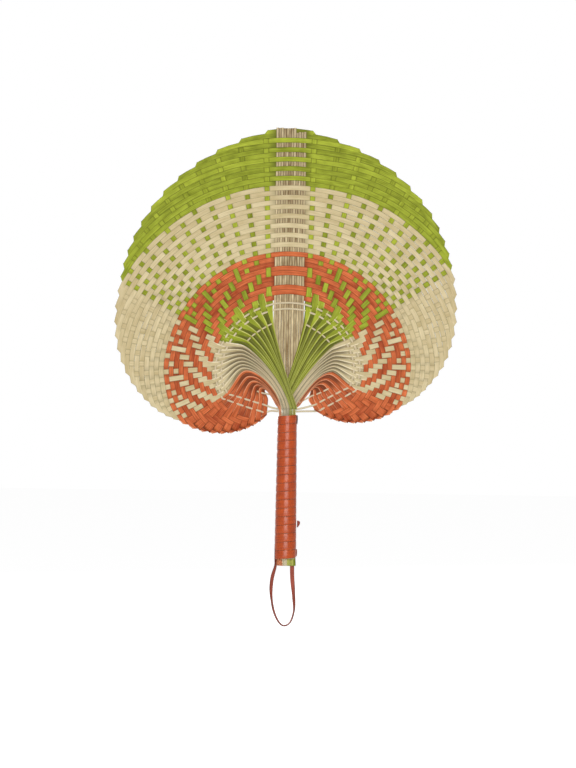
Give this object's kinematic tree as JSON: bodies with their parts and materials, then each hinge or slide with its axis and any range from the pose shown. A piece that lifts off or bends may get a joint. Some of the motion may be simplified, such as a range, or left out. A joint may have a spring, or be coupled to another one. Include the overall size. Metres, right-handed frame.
{
  "type": "hand fan",
  "caption": "Heart-shaped woven palm splint hand fan with concentric dyed bands, a flat rib of slats, a straight bound handle and a hanging loop at the butt.",
  "frame": {"origin": "middle of the bound grip", "axes": "+Z from the handle to the blade's tip, +X to the right of someone who looks at the front, +Y away from them, through the blade"},
  "size_m": [0.2568, 0.0162, 0.3784],
  "materials": {
    "green_splint": "dyed palm leaf",
    "natural_splint": "undyed palm leaf",
    "orange_splint": "dyed palm leaf",
    "rib_slat": "split leaf stalk",
    "grip_binding": "dyed palm leaf, satin",
    "plain_splint": "dyed palm leaf, aged",
    "twine": "twisted fibre"
  },
  "bodies": {
    "root": {"binding_tab": "plain_splint", "green_splint_01": "green_splint", "green_splint_02": "green_splint", "green_splint_03": "green_splint", "green_splint_04": "green_splint", "green_splint_05": "green_splint", "green_splint_06": "green_splint", "green_splint_07": "green_splint", "green_splint_08": "green_splint", "green_splint_09": "green_splint", "green_splint_10": "green_splint", "green_splint_11": "green_splint", "green_splint_12": "green_splint", "green_tails_back": "green_splint", "green_tails_front": "green_splint", "grip_binding": "grip_binding", "hang_loop": "plain_splint", "natural_splint_01": "natural_splint", "natural_splint_02": "natural_splint", "natural_splint_03": "natural_splint", "natural_splint_04": "natural_splint", "natural_splint_05": "natural_splint", "natural_splint_06": "natural_splint", "natural_splint_07": "natural_splint", "natural_splint_08": "natural_splint", "natural_splint_09": "natural_splint", "natural_splint_10": "natural_splint", "natural_splint_11": "natural_splint", "natural_splint_12": "natural_splint", "natural_splint_13": "natural_splint", "natural_splint_14": "natural_splint", "natural_tails_back": "natural_splint", "natural_tails_front": "natural_splint", "orange_splint_01": "orange_splint", "orange_splint_02": "orange_splint", "orange_splint_03": "orange_splint", "orange_splint_04": "orange_splint", "orange_splint_05": "orange_splint", "orange_splint_06": "orange_splint", "orange_splint_07": "orange_splint", "orange_splint_08": "orange_splint", "orange_splint_09": "orange_splint", "orange_splint_10": "orange_splint", "orange_tails_back": "orange_splint", "orange_tails_front": "orange_splint", "rib_slat_01": "rib_slat", "rib_slat_02": "rib_slat", "rib_slat_03": "rib_slat", "rib_slat_04": "rib_slat", "rib_slat_05": "rib_slat", "rib_slat_06": "rib_slat", "rib_slat_07": "rib_slat", "rib_slat_08": "rib_slat", "rib_slat_09": "rib_slat", "rib_slat_10": "rib_slat", "rib_slat_11": "rib_slat", "rib_slat_12": "rib_slat", "twine_inner": "twine", "twine_outer": "twine"}
  },
  "joints": []
}
